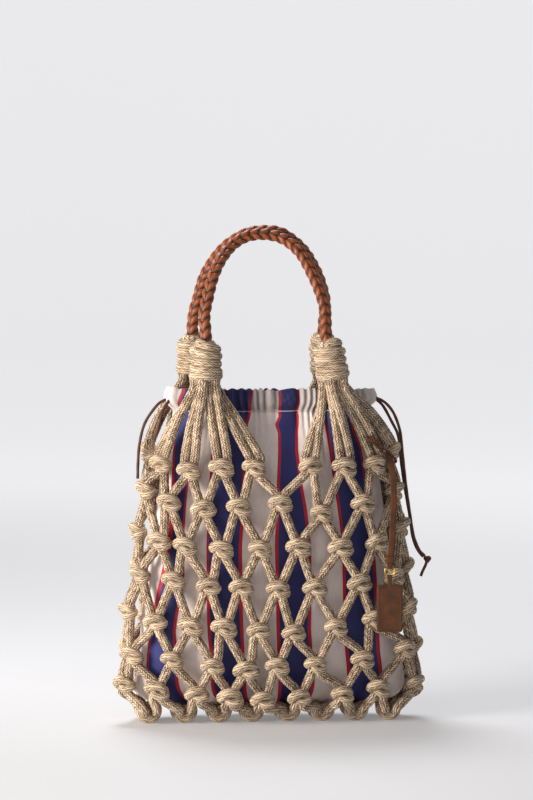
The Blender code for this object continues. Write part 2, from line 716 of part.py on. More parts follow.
def main():
    clear_scene()
    parts = make_collection("macrame_bag")
    tools = make_collection("cutters")
    rope = make_material("rope", (0.66, 0.54, 0.38), 0.85)
    cognac = make_material("cognac_leather", (0.38, 0.10, 0.035), 0.45)
    brown = make_material("brown_leather", (0.14, 0.04, 0.018), 0.5)
    cloth = make_material("striped_cotton", (0.45, 0.42, 0.44), 0.9)
    brass = make_material("brass", (0.80, 0.58, 0.28), 0.25, 1.0)
    build_net(parts, tools, rope)
    for name, head in HEADS.items():
        make_head("whipping_" + name, head, parts, rope)
    for side in HANDLE_ROUTES:
        make_handle(side, parts, cognac)
    make_pouch(parts, cloth)
    for name in LACE_ROUTES:
        make_lace(name, parts, brown)
    make_lace_knot(parts, brown)
    make_strap(parts, tools, brown)
    make_ring(parts, brass)
    make_plate(parts, tools, brown)


main()
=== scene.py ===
import functools
import math
import random

import bpy
import numpy as np
from mathutils import Matrix, Vector


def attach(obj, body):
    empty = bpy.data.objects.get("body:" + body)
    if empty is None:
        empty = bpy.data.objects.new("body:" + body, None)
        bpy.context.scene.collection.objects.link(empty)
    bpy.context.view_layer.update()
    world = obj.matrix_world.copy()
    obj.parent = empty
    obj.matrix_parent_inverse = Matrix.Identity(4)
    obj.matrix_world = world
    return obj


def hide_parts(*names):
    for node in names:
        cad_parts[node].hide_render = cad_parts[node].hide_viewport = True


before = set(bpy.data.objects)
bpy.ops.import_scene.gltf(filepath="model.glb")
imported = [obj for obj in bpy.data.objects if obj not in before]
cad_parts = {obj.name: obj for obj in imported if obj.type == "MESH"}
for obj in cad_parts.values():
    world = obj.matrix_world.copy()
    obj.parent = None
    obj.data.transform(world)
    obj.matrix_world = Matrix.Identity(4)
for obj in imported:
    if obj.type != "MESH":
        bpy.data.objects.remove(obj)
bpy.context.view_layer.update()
mm = 0.001
fit = 0.3  # air between neighbouring solids, mm

# Helpers: curves, grids and node trees


def unit(vectors):  # each row divided by its own length
    return vectors / np.linalg.norm(vectors, axis=-1, keepdims=True)


def walked(path):  # distance from a path's start to each of its points
    return np.r_[0, np.cumsum(np.linalg.norm(np.diff(path, axis=0), axis=1))]


def turns(count):  # the angles of a ring's points
    return 2 * np.pi * np.arange(count) / count


def smoothRoute(points, step):
    # Catmull-Rom curve through the points, read off at equal steps; columns past the third ride along
    knots = np.array(points, float)
    padded = np.vstack([2 * knots[0] - knots[1], knots, 2 * knots[-1] - knots[-2]])
    before, start, end, after = (padded[i:len(padded) - 3 + i, None, :] for i in range(4))
    t = np.linspace(0, 1, 24, endpoint=False)[None, :, None]
    fine = 0.5 * (2 * start + (end - before) * t + (2 * before - 5 * start + 4 * end - after) * t ** 2
                  + (3 * start - before - 3 * end + after) * t ** 3)
    fine = np.vstack([fine.reshape(-1, knots.shape[1]), knots[-1:]])
    travelled = walked(fine[:, :3])
    wanted = np.linspace(0, travelled[-1], max(6, int(travelled[-1] / step) + 1))
    return np.column_stack([np.interp(wanted, travelled, column) for column in fine.T])


def gridPart(points, u, v, capped=True):
    # quads over a grid of points [row, column]; u runs with the rows, v with the columns or with both, and
    # an end cap is a strip of quads laid across the last ring
    rows, columns = points.shape[:2]
    row = np.arange(rows - 1)[:, None]
    column = np.arange(columns)[None, :]
    after = (column + 1) % columns
    quads = np.stack([row * columns + column, row * columns + after,
                      (row + 1) * columns + after, (row + 1) * columns + column], axis=-1).reshape(-1, 4)
    one = np.ones_like(row * column)
    v = np.broadcast_to(v, (rows, np.shape(v)[-1]))
    uv = np.stack([np.stack([u[row + i] * one, v[row + i, column + j]], -1)
                   for i, j in ((0, 0), (0, 1), (1, 1), (1, 0))], axis=2).reshape(-1, 4, 2)
    if capped:
        i = np.arange(columns // 2 - 1)
        cap = np.stack([i, i + 1, columns - 2 - i, columns - 1 - i], axis=-1)
        quads = np.vstack([quads, cap[:, ::-1], cap + (rows - 1) * columns])
        flat = np.stack([np.full(cap.shape, u[0]), v[0][cap]], -1)
        flatEnd = np.stack([np.full(cap.shape, u[rows - 1]), v[-1][cap]], -1)
        uv = np.concatenate([uv, flat[:, ::-1], flatEnd])
    return points.reshape(-1, 3), quads, uv


def framed(path, reference):
    # the path, a side square to it and to the reference, the way up from both, and the distance walked
    path = np.asarray(path, float)
    tangent = unit(np.gradient(path, axis=0))
    side = unit(np.cross(np.broadcast_to(reference, path.shape), tangent))
    return path, side, np.cross(tangent, side), walked(path)


def tubePart(path, radius, around, reference, relief=None, uStart=0.0):
    # ring at each point of the path: radius * (cos * side + sin * up); relief(along, turn) adds
    # millimetres to the radius
    path, side, up, along = framed(path, reference)
    turn = turns(around)
    reach = np.broadcast_to(radius, len(path))[:, None] * np.ones(around)
    if relief is not None:
        reach = reach + relief(along[:, None] + uStart, turn[None, :])
    ring = np.cos(turn)[None, :, None] * side[:, None] + np.sin(turn)[None, :, None] * up[:, None]
    points = path[:, None] + reach[..., None] * ring
    return gridPart(points, (along + uStart) * mm, np.arange(around + 1) / around)


def sweptPart(path, section, reference):
    # a section carried along a path: its x to the side, its y up
    path, side, up, along = framed(path, reference)
    points = path[:, None] + section[None, :, 0, None] * side[:, None] + section[None, :, 1, None] * up[:, None]
    return gridPart(points, along * mm, np.arange(len(section) + 1) / len(section))


def turnedPoints(profile, around):  # profile of (radius, height) turned about Z
    turn = turns(around)
    return np.stack([profile[:, 0, None] * np.cos(turn), profile[:, 0, None] * np.sin(turn),
                     np.broadcast_to(profile[:, 1, None], (len(profile), around))], axis=-1)


def lathePart(profile, around, place=Matrix.Identity(4)):
    profile = np.array(profile, float)
    points = turnedPoints(profile, around)
    return movedPart(gridPart(points, walked(profile) * mm, np.arange(around + 1) / around), place)


def movedPart(part, place):
    matrix = np.array(place)
    return part[0] @ matrix[:3, :3].T + matrix[:3, 3], part[1], part[2]


def addObject(name, data):
    placed = bpy.data.objects.new(name, data)
    bpy.context.scene.collection.objects.link(placed)
    return placed


def meshObject(name, points, quads, material):  # points in mm
    mesh = bpy.data.meshes.new(name)
    mesh.from_pydata(points * mm, [], quads)
    mesh.shade_smooth()
    mesh.materials.append(material)
    return addObject(name, mesh)


def makePiece(name, parts, material, slotName, *nodes):
    # the parts joined in one mesh, riding on the bag's one body
    starts = np.cumsum([0] + [len(part[0]) for part in parts[:-1]])
    quads = np.vstack([part[1] + start for part, start in zip(parts, starts)])
    piece = meshObject(name, np.vstack([part[0] for part in parts]), quads, material)
    layer = piece.data.uv_layers.new(name="UVMap")
    layer.data.foreach_set("uv", np.concatenate([part[2].reshape(-1) for part in parts]).astype(np.float32))
    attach(piece, "root")
    if nodes:
        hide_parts(*nodes)
    return piece


def markPoints(piece, name, values):  # one number a point, for the material to read
    attribute = piece.data.attributes.new(name, "FLOAT", "POINT")
    attribute.data.foreach_set("value", values.astype(np.float32).ravel())


def hexColour(code):  # sRGB hex to linear light
    parts = [int(code[i:i + 2], 16) / 255 for i in (1, 3, 5)]
    return tuple(p / 12.92 if p <= 0.04045 else ((p + 0.055) / 1.055) ** 2.4 for p in parts) + (1.0,)


def setInputs(node, values=(), **named):
    # inputs by place, then by name; each takes a value, a node's first output or a (node, output) pair
    for key, value in [*enumerate(values), *named.items()]:
        socket = node.inputs[key.replace("_", " ") if isinstance(key, str) else key]
        if isinstance(value, bpy.types.Node):
            value = (value, 0)
        if isinstance(value, tuple) and isinstance(value[0], bpy.types.Node):
            node.id_data.links.new(value[0].outputs[value[1]], socket)
        else:
            socket.default_value = value


def addNode(tree, kind, *values, **named):
    # one node with its inputs; a name in lower case is a setting of the node itself
    node = tree.nodes.new("ShaderNode" + kind)
    for name in [name for name in named if name.islower()]:
        setattr(node, name, named.pop(name))
    setInputs(node, values, **named)
    return node


def newMaterial(name, **shaderValues):
    # an empty material, its shader with these values set, and its addNode
    material = bpy.data.materials.new(name)
    material.use_nodes = True
    shader = material.node_tree.nodes["Principled BSDF"]
    setInputs(shader, **shaderValues)
    return material, shader, functools.partial(addNode, material.node_tree)


def setStops(ramp, *stops):  # (position, colour) in rising order
    while len(ramp.color_ramp.elements) < len(stops):
        ramp.color_ramp.elements.new(stops[1][0])
    for element, (position, colour) in zip(ramp.color_ramp.elements, stops):
        element.position = position
        element.color = hexColour(colour)


# Camera

view = {"azimuth": -5.2, "elevation": 5, "distance": 4500, "lens": 200.9, "aim": (-3.4, 0, 325.8)}


def makeCamera():
    turn, rise = math.radians(view["azimuth"]), math.radians(view["elevation"])
    back = Vector((math.sin(turn) * math.cos(rise), -math.cos(turn) * math.cos(rise), math.sin(rise)))
    data = bpy.data.cameras.new("camera")
    data.lens = view["lens"]
    data.sensor_width = 36.0
    data.clip_end = 20.0
    camera = addObject("camera", data)
    camera.location = (Vector(view["aim"]) + back * view["distance"]) * mm
    camera.rotation_mode = "QUATERNION"
    camera.rotation_quaternion = (-back).to_track_quat("-Z", "Y")
    bpy.context.scene.camera = camera


makeCamera()
print("camera set")

# Materials


def plaitedRope(name, light, shade, gap, columns, stitch, slant, depth, gapShare):
    # Cotton rope, round plaited: short slanted stitches in columns that lean left and right by turns, with a
    # painted highlight on their backs and painted shade in the holes between; u runs along the rope in metres, v
    # round it
    material, shader, add = newMaterial(name, Roughness=0.9, Sheen_Weight=0.12, Sheen_Roughness=0.6)
    uv = add("SeparateXYZ", (add("TexCoord"), "UV"))
    position = (add("TexCoord"), "Object")
    sway = add("TexNoise", Vector=position, Scale=260.0, Detail=1.0)
    column = add("Math", (uv, "Y"), float(columns), operation="MULTIPLY")
    place = add("Math", column, operation="FLOOR")
    across = add("Math", column, place, operation="SUBTRACT")
    odd = add("Math", place, 2.0, operation="MODULO")
    sign = add("Math", odd, -2.0, 1.0, operation="MULTIPLY_ADD")
    lean = add("Math", add("Math", across, -0.5), sign, operation="MULTIPLY")
    along = add("Math", (uv, "X"), stitch * mm, operation="DIVIDE")
    swayed = add("Math", sway, 0.9, along, operation="MULTIPLY_ADD")
    offset = add("Math", odd, 0.5, swayed, operation="MULTIPLY_ADD")
    phase = add("Math", lean, slant, offset, operation="MULTIPLY_ADD")
    ridge = add("Math", phase, 0.5, operation="PINGPONG")
    edge = add("Math", column, 0.5, operation="PINGPONG")
    height = add("Math", add("Math", ridge, 1.3, operation="MULTIPLY"),
                 add("Math", edge, 2.4, operation="MULTIPLY"), 0.25, operation="SMOOTH_MIN")
    # lowest where column and stitch both end: painted shade for a small dark hole
    corner = add("Math", edge, 1.3, add("Math", ridge, 1.5, operation="MULTIPLY"), operation="MULTIPLY_ADD")
    lined = add("Math", height, 0.6, add("Math", corner, 0.3, operation="MULTIPLY"), operation="MULTIPLY_ADD")
    cell = add("CombineXYZ", add("Math", phase, operation="FLOOR"), place)
    chance = add("TexWhiteNoise", cell, noise_dimensions="2D")
    broad = add("TexNoise", Vector=position, Scale=45.0, Detail=2.0)
    fibre = add("TexNoise", Vector=position, Scale=1500.0, Detail=2.0)
    # the ramp paints shade along the stitch lines, darkest in the holes, and a highlight on the stitch backs over the
    # cotton's own cream, varied at random stitch by stitch
    ramp = add("ValToRGB", add("Math", chance, 0.34, add("Math", lined, -0.12), operation="MULTIPLY_ADD"))
    setStops(ramp, (gapShare * 0.5, gap), (gapShare, shade), (gapShare * 2.0, light))
    tone = add("MapRange", broad, 0.3, 0.7, 0.9, 1.08)
    hair = add("MapRange", fibre, 0.25, 0.75, 0.84, 1.12)
    coloured = add("VectorMath", ramp, Scale=add("Math", tone, hair, operation="MULTIPLY"), operation="SCALE")
    rough = add("Math", fibre, 0.3, height, operation="MULTIPLY_ADD")
    setInputs(shader, Base_Color=coloured, Normal=add("Bump", Height=rough, Distance=depth * mm, Strength=1.0))
    return material


def stripedCotton(name):
    # Sateen-faced cotton: navy bands edged with thin red on a pale warm grey ground, a fine slubby
    # weave and a soft sheen; u runs round the pouch in metres of flat cloth, v up it
    stripe = {"pitch": 75.0, "middle": 26.5, "blueHalf": 15.0, "redHalf": 18.9, "blend": 0.2, "weave": 0.9}
    material, shader, add = newMaterial(name, Roughness=0.66, Sheen_Weight=0.08, Sheen_Roughness=0.4)
    coordinates = add("TexCoord")
    position = (coordinates, "Object")
    flat = add("SeparateXYZ", (coordinates, "UV"))
    moved = add("Math", flat, (stripe["pitch"] / 2 - stripe["middle"]) * mm)
    share = add("Math", add("Math", moved, stripe["pitch"] * mm, operation="DIVIDE"), operation="FRACT")
    fromMiddle = add("Math", add("Math", share, -0.5), operation="ABSOLUTE")
    away = add("Math", fromMiddle, stripe["pitch"], operation="MULTIPLY")
    blue, red = (add("MapRange", away, stripe[half] - stripe["blend"], stripe[half] + stripe["blend"], 1.0, 0.0)
                 for half in ("blueHalf", "redHalf"))
    cloud = add("TexNoise", Vector=position, Scale=14.0, Detail=3.0)
    slub = add("TexNoise", Vector=add("Mapping", Vector=position, Scale=(1, 1, 0.08)), Scale=900.0, Detail=2.0)
    grey = add("MixRGB", cloud, hexColour("#E4D7D3"), hexColour("#EEE1DD"))
    navy = add("MixRGB", cloud, hexColour("#1B1C58"), hexColour("#282C76"))
    withBlue = add("MixRGB", blue, add("MixRGB", red, grey, hexColour("#C0072F")), navy)
    thread = add("MapRange", slub, 0.3, 0.7, 0.93, 1.05)
    # painted shade: the pleats attribute darkens the cloth, on top of the thread's own slub tone
    pleats = add("Attribute", attribute_name="pleats")  # darker where tight pleats shade themselves
    shaded = add("Math", thread, (pleats, "Fac"), operation="MULTIPLY")
    wave = math.tau / (stripe["weave"] * mm)  # real thread is 0.3 mm; drawn three times coarser so that it shows
    warp, weft = (add("Math", add("Math", (flat, axis), wave, operation="MULTIPLY"), operation="SINE")
                  for axis in "XY")
    weave = add("Math", add("Math", warp, weft, operation="MULTIPLY"), 0.4, slub, operation="MULTIPLY_ADD")
    setInputs(shader, Base_Color=add("VectorMath", withBlue, Scale=shaded, operation="SCALE"),
              Normal=add("Bump", Height=weave, Distance=0.12 * mm, Strength=0.6))
    return material


def grainedLeather(name, light, dark, roughness, grain=0.7, relief=None):
    # Full-grain leather, drum dyed and waxed: fine pebbled grain and cloudy tone; where the piece has a
    # relief attribute, painted shade darkens its grooves (0) and a painted highlight lightens its tops (1)
    material, shader, add = newMaterial(name, Specular_IOR_Level=0.35)
    position = (add("TexCoord"), "Object")
    cloud = add("TexNoise", Vector=position, Scale=110.0, Detail=4.0)
    pebble = add("TexVoronoi", Vector=position, Scale=1.0 / (grain * mm), feature="SMOOTH_F1")
    coloured = add("ValToRGB", add("Math", pebble, -0.3, cloud, operation="MULTIPLY_ADD"))
    setStops(coloured, (0.15, dark), (0.65, light))
    if relief:
        # painted shade in the grooves, painted highlight on the tops
        shade = add("MapRange", (add("Attribute", attribute_name=relief), "Fac"), 0.15, 0.95, 0.14, 1.1)
        coloured = add("VectorMath", coloured, Scale=shade, operation="SCALE")
    worn = add("MapRange", cloud, 0.3, 0.7, roughness - 0.08, roughness + 0.1)
    setInputs(shader, Base_Color=coloured, Roughness=worn,
              Normal=add("Bump", Height=pebble, Distance=0.15 * mm, Strength=0.5))
    return material


def spunThread(name):
    # Mercerised cotton sewing thread: pale, with a fine fibre's uneven tone and a faint sheen
    material, shader, add = newMaterial(name, Roughness=0.8, Sheen_Weight=0.1)
    fibre = add("TexNoise", Vector=(add("TexCoord"), "Object"), Scale=1800.0, Detail=2.0)
    setInputs(shader, Base_Color=add("MixRGB", fibre, hexColour("#B4ACA6"), hexColour("#DDD6D0")))
    return material


def polishedBrass(name):
    # Cast brass, tumbled and lacquered: a warm soft mirror with faint rub marks
    material, shader, add = newMaterial(name, Metallic=1.0)
    rub = add("TexNoise", Vector=(add("TexCoord"), "Object"), Scale=700.0, Detail=3.0)
    setInputs(shader, Base_Color=add("MixRGB", rub, hexColour("#A07C3E"), hexColour("#CBA65C")),
              Roughness=add("MapRange", rub, To_Min=0.24, To_Max=0.44))
    return material


# rope colours: stitch backs with a painted highlight, painted shade on the stitch lines, painted shade in the holes
freeRope = plaitedRope("plaited cotton rope", "#F4E0C4", "#A5805A", "#120903", 10, 3.1, 1.1, 1.1, 0.36)
tightRope = plaitedRope("plaited cotton rope, pulled tight", "#F0DBBD", "#B4926D", "#1E1208", 11, 2.8, 1.4, 0.7, 0.33)
cotton = stripedCotton("sateen cotton, woven stripe")
cognacLeather = grainedLeather("vegetable tanned leather thong, cognac", "#A2582E", "#773B1D", 0.42, relief="relief")
brownLeather = grainedLeather("bridle leather, brown", "#613610", "#3E2108", 0.62, 0.9)
laceLeather = grainedLeather("round leather lace, brown", "#5E3620", "#33190C", 0.5)
seamThread = spunThread("sewing thread, pale cotton")
brass = polishedBrass("cast brass, tumbled")
print("materials made")

# Laces: free leather cords, on the routes of their solids

lace = {
    "radius": 1.5, "around": 12, "step": 1.6,
    "routes": {
        "right_outer": ((105.9, -3, 328), (116, -4, 323), (125, -5, 312), (131.5, -5, 294), (134, -5, 273),
                        (137.5, -6, 240), (142.5, -6, 205), (146, -5, 186), (152, -2, 172), (157.6, -1, 166)),
        "right_inner": ((106.2, 3, 327), (115, 4, 319), (124, 5, 303), (131, 6, 288), (133.5, 8, 268),
                        (137.5, 9, 240), (143, 9, 208), (146.5, 7, 184), (151.5, 4, 171), (156.6, 2.8, 164.6)),
        "left_outer": ((-104.4, -3, 328), (-114, -4, 322), (-126.5, -5, 304), (-132, -5, 283),
                       (-133.6, -5, 263), (-134, -6, 248)),
        "left_inner": ((-102.2, -8, 327), (-108.5, -10, 317), (-112.5, -11, 304), (-115.5, -11, 292)),
    },
    "knot": (160.5, 0.5, 162.5), "knotTurn": 2.5, "knotCord": 1.7, "tail": (153.5, -2, 145.5),
}


def makeLaceKnot():
    # an overhand knot, as a trefoil of cord drawn small, and the two ends' short free tail
    middle, tail = np.array(lace["knot"]), np.array(lace["tail"])
    turn = np.linspace(0, 2 * np.pi, 60, endpoint=False)
    size = lace["knotTurn"]
    loop = np.column_stack([np.sin(turn) + 2 * np.sin(2 * turn), np.cos(turn) - 2 * np.cos(2 * turn),
                            -1.3 * np.sin(3 * turn)]) * size / 3
    loop = middle + loop[:, [0, 2, 1]]
    loop = np.vstack([loop, loop[:2]])
    down = unit(tail - middle)
    tailPath = smoothRoute([middle, middle + down * 6 + (0.5, 0, 0), tail + down * -5, tail], step=1.0)
    parts = [tubePart(loop, lace["knotCord"], 10, (0.3, 1.0, 0.2)), tubePart(tailPath, lace["radius"], 10, (0, 1, 0))]
    return makePiece("lace_knot_drawn", parts, laceLeather, "brown_leather", "lace_knot")


def makeLaces():
    knot = makeLaceKnot()
    for name, route in lace["routes"].items():
        path = smoothRoute(route, step=lace["step"])
        thick = lace["radius"] * (1 + 0.04 * np.sin(np.arange(len(path)) * 0.7))  # hand-cut, so a little uneven
        part = tubePart(path, thick, lace["around"], (0.0, 1.0, 0.15))
        piece = makePiece("lace_cord_" + name, [part], laceLeather, "brown_leather", "lace_" + name)


makeLaces()
print("laces made")

# Net: the same rows, heads and seeds as the solids

bag = {"cord": 4.6, "frontShare": 0.478, "firstColumn": -0.012, "ovalPower": 2.3, "jitter": 1.3}
rows = {
    "height": (264, 225, 182, 143, 100.5, 62, 31),
    "halfWidth": (121.5, 126, 131, 137, 142, 146, 149.5),
    "halfDepth": (46, 50, 54, 56, 56, 52, 42),
    "sideRise": (9, 11, 13, 13, 14, 12, 10),
    "left": (-0.10, -0.10, 0.10, 0.15, 0.35, 0.30, 0.50),
    "right": (0.30, 0.70, 0.30, 0.25, 0.10, 0.20, 0.20),
    "gap": (0.6, 0, 0, 0, 0, 0, 0),
    "slips": ((0, 3, 3, 2, 2, 3, 5, 5, 0), (5, -2, -3, -4, -1, 0, 0, 4), (0, 5, -2, -2, -1, -2, 0, 1, 0),
              (5, 5, 4, 0, -1, -6, -3, -3), (0, 4, 4, 1, -1, -8, -5, -5, 0), (-2, 6, 8, 5, -4, -5, 1, 5),
              (0, 2, 6, 7, 3, 0, 3, -2, 0)),  # front knots off their even places, mm along the row
    "lifts": ((1, -7, -6, -2, 0, 0, -2, -3, 2), (2, -3, -5, 0, 3, -9, -1, -1), (0, -3, 1, 1, 1, 2, 0, -1, 2),
              (-1, 4, 2, 1, 0, -1, 1, -2), (0, -1, 3, 3, -1, -2, 2, 4, 5), (0, 5, 2, -2, 1, 3, 6, 8),
              (0, 3, 3, -1, -2, -1, 0, 4, 0)),  # and up
}
heads = {  # each takes four columns from its first
    "front_left": {"x": -68, "y": -42, "lean": 0, "first": 1},
    "front_right": {"x": 60, "y": -42, "lean": -6.5, "first": 5},
    "back_right": {"x": 62, "y": 42, "lean": -3, "first": 9},
    "back_left": {"x": -75, "y": 42, "lean": 0, "first": 13},
}
head = {
    "foot": 350, "tall": 40, "turns": 5, "wrap": 12.1, "cord": 4.55, "bundle": 10, "spread": 115,
    "layer": 2, "core": 10.5, "socket": 6,
    "exit": ((9, 1, -1.5), (1, 1, 0), (-9, 1.3, 0)),  # above the foot, share of the layer, and outward
    "entry": 6, "bow": (4, 3),  # beside and above the first knot, and the bow out and up before it
}
bottom = {"count": 8, "pitch": 34.8, "shift": -1.2, "cord": 4.5,
          "collar": ((-6.5, 4, 19), (-8.6, 1, 14), (-7.4, -1.5, 8.2), (-3.6, -2.6, 5), (0.4, -3, 4.3),
                     (4.4, -2.6, 5.2), (7.8, -1.2, 8.8), (8.4, 1.5, 14), (5.8, 4.5, 17.5)),
          "collars": ((-12.5, 1, 0), (-14.5, 0.5, 7), (0, 1, 0), (12.5, 1, 0), (14.5, 0.5, 7)),
          "run": ((27, 6.3, 15.5), (16, 4.5, 11.5), (6, 2.7, 8)), "lean": 1.5,
          "core": ((0.5, 15.5), (5, 14.5), (7.5, 10), (7, 4), (0.5, 2)), "coreDeep": 1.8}
levels = len(rows["height"])
upwards = np.array((0.0, 0.0, 1.0))


def ovalPoint(halfWidth, halfDepth, share):
    # a superellipse walked by its arc length from the left end through the front: place, side, outward
    angle = np.linspace(0, 2 * np.pi, 721)
    power = 2 / bag["ovalPower"]
    across = -halfWidth * np.sign(np.cos(angle)) * np.abs(np.cos(angle)) ** power
    along = -halfDepth * np.sign(np.sin(angle)) * np.abs(np.sin(angle)) ** power
    travelled = np.r_[0, np.cumsum(np.hypot(np.diff(across), np.diff(along)))]
    share = np.atleast_1d(share)
    place, after = (np.column_stack([np.interp((share + step) % 1.0 * travelled[-1], travelled, line)
                                     for line in (across, along)] + [0 * share]) for step in (0.0, 0.004))
    side = unit(after - place)
    return place, side, np.column_stack([side[:, 1], -side[:, 0], 0 * share])


def columnShare(level, column):
    # where a column's knot stands round the bag, with its row's slips and middle gap
    gap, left, right = rows["gap"][level] / 2, rows["left"][level], rows["right"][level]
    moved = (left, 4 - gap, 5 + gap + right / 4, 8 + right, 12 - gap, 13 + gap, 16 + left)
    place = float(np.interp(column % 16, (0, 4, 5, 8, 12, 13, 16), moved))
    if place <= 8:
        return bag["firstColumn"] + place * bag["frontShare"] / 8
    return bag["firstColumn"] + bag["frontShare"] + (place - 8) * (1 - bag["frontShare"]) / 8


def knotFrame(level, column):
    # a knot's middle, its sideways and its outward direction, slipped a little by a seed of its own
    share = columnShare(level, column)
    place, side, out = (rowOf[0] for rowOf in ovalPoint(rows["halfWidth"][level], rows["halfDepth"][level], share))
    rise = rows["sideRise"][level] * abs(place[0] / rows["halfWidth"][level]) ** 4
    chance = random.Random(int(level * 100 + (column % 16) * 2))
    slip, lift = 0.0, 0.0
    if column % 16 <= 8:
        slip, lift = (rows[name][level][int(column % 16)] for name in ("slips", "lifts"))
    place[2] = rows["height"][level] + rise + lift + chance.uniform(-bag["jitter"], bag["jitter"])
    return place + side * (slip + chance.uniform(-bag["jitter"], bag["jitter"])), side, out


def headPoint(one, height, around=None, reach=0.0):
    # a point on a head's axis, or on its bundle at an angle from the side away from the bag
    place = np.array((one["x"] + one["lean"] * (height - head["foot"]) / head["tall"], one["y"], height))
    if around is not None:
        facing = math.copysign(1.0, one["y"])
        turn = math.radians(around)
        place = place + np.array((-facing * math.sin(turn), facing * math.cos(turn), 0)) * (head["bundle"] + reach)
    return place


def headFrame(one):  # the head's own frame, foot at the origin and lean along Z
    lean = Vector((one["lean"], 0, head["tall"])).normalized()
    return Matrix.Translation((one["x"], one["y"], head["foot"])) @ lean.to_track_quat("Z", "Y").to_matrix().to_4x4()


def cordStart(column, rightSide):
    # from inside the whipping, out under it and down in a bow to just above the first knot
    column = 16 if column == 0 else column
    one = next(entry for entry in heads.values() if entry["first"] <= column < entry["first"] + 4)
    order = (column - one["first"]) * 2 + (1 if rightSide else 0)
    around = head["spread"] * (2 * order / 7 - 1)
    reach = head["layer"] * (1 if order % 2 else -1)
    points = [headPoint(one, head["foot"] + up, around, reach * share + outward)
              for up, share, outward in head["exit"]]
    place, side, out = knotFrame(0, column)
    entry = place + side * (head["entry"] if rightSide else -head["entry"]) + upwards * head["entry"]
    outward, upward = head["bow"]
    return points + [(points[-1] + entry) / 2 + out * outward + upwards * upward]


strand = {  # sideways, up and out of a knot's middle, mm: in at the top, hidden, out at the bottom
    "toRight": ((-4.6, 9, 0.6), (-1.5, 2.5, -1), (1.5, -3.5, -0.5), (3.6, -9.5, 0.8)),
    "toLeft": ((5.6, 9.5, 1), (2, 3, -0.5), (-2, -3.5, -1), (-4.8, -9.5, 0.2)),
    "around": 16, "step": 1.2, "relief": 0.26, "plait": 4.8,
}


def jointMiddle(index):
    return (index - (bottom["count"] - 1) / 2) * bottom["pitch"] + bottom["shift"]


def jointPoints(column, last):
    # in under the bag, down into the joint knot
    column = int(column % 16)
    front = column < bottom["count"]
    index = column if front else 15 - column
    middle = jointMiddle(index)
    facing = -1 if front else 1
    hand = 1 if last[0] > middle else -1
    return [np.array((middle + hand * across, facing * along, up)) for along, across, up in bottom["run"]]


def cordRoute(start, toRight):
    step = 0.5 if toRight else -0.5
    points = cordStart(start, not toRight)
    for level in range(levels):
        place, side, out = knotFrame(level, start + step * level)
        local = strand["toRight" if toRight else "toLeft"]
        points += [place + side * across + upwards * up + out * outward for across, up, outward in local]
    return points + jointPoints(start + step * levels, points[-1])


def plaitRelief(along, turn):  # lumps in a diamond lattice, eight round the cord
    return strand["relief"] * np.cos(8 * turn) * np.cos(2 * np.pi * along / strand["plait"])


def outwardOf(path):  # away from the bag's middle plane, for the cords' rings
    out = path * (1.0, 3.0, 0.0)
    return unit(out + (0, 1e-6, 0))


def makeCords():
    for name, one in heads.items():
        parts = []
        for column in range(one["first"], one["first"] + 4):
            for toRight in (True, False):
                path = smoothRoute(cordRoute(column % 16, toRight), step=strand["step"])
                parts.append(tubePart(path, bag["cord"], strand["around"], outwardOf(path), plaitRelief,
                                      uStart=column * 7.0))
        for part in parts:
            np.maximum(part[0][:, 2], 0.02, out=part[0][:, 2])
        makePiece("net_cords_" + name, parts, freeRope, "rope", "net")


makeCords()
print("cords made")

knot = {  # each band's points: sideways, up, out and radius, mm
    "upper": ((3, -1, -3.6, 3.2), (-3.6, -3.4, -3.4, 3.8), (-7.8, -3.4, 0.2, 4.4), (-8.2, -0.8, 3.9, 4.8),
              (-4.8, 2.6, 6.9, 4.8), (0.6, 4.6, 7.2, 4.5), (5.4, 3.9, 4.6, 4.1), (7.8, 1.4, 0.8, 3.7),
              (5.2, 0, -3, 3.2)),
    "lower": ((-3.4, 0.4, 0.2, 3.2), (-2.2, -2.8, 3.4, 3.6), (1.4, -4.8, 5, 4), (5.6, -5, 4.6, 4.3),
              (9.2, -3.4, 2, 4.4), (8.6, -1.4, -1.4, 3.9), (5, 0.2, -3.6, 3.4), (1, 0.4, -3.8, 3.2)),
    "around": 18, "step": 1.6, "ribs": 9, "ribDeep": 0.16, "ribLead": 22, "tilt": -9, "turn": 12, "grow": 0.06,
}


def ribRelief(along, turn):  # rounded ribs that wind slowly round the band
    return knot["ribDeep"] * np.cos(knot["ribs"] * turn + 2 * np.pi * along / knot["ribLead"])


def knotParts(level, column):
    place, side, out = knotFrame(level, column)
    chance = random.Random(int(5000 + level * 100 + (column % 16) * 2))
    turn = math.radians(knot["tilt"] + chance.uniform(-knot["turn"], knot["turn"]))
    size = 1 + chance.uniform(-knot["grow"], knot["grow"])
    parts = []
    for band in ("upper", "lower"):
        table = np.array(knot[band])
        across = (table[:, 0] * math.cos(turn) - table[:, 1] * math.sin(turn)) * size
        up = (table[:, 0] * math.sin(turn) + table[:, 1] * math.cos(turn)) * size
        points = place + across[:, None] * side + up[:, None] * upwards + table[:, 2, None] * out
        route = smoothRoute(np.column_stack([points, table[:, 3] * size]), step=knot["step"])
        parts.append(tubePart(route[:, :3], route[:, 3], knot["around"], upwards, ribRelief,
                              uStart=chance.uniform(0, 40)))
    return parts


def makeKnots():
    for name, columns in (("front", np.arange(0, 8)), ("back", np.arange(8, 16))):
        parts = []
        for level in range(levels):
            for column in columns + (0.5 if level % 2 else 0.0):
                parts += knotParts(level, float(column))
        makePiece("net_knots_" + name, parts, tightRope, "rope")


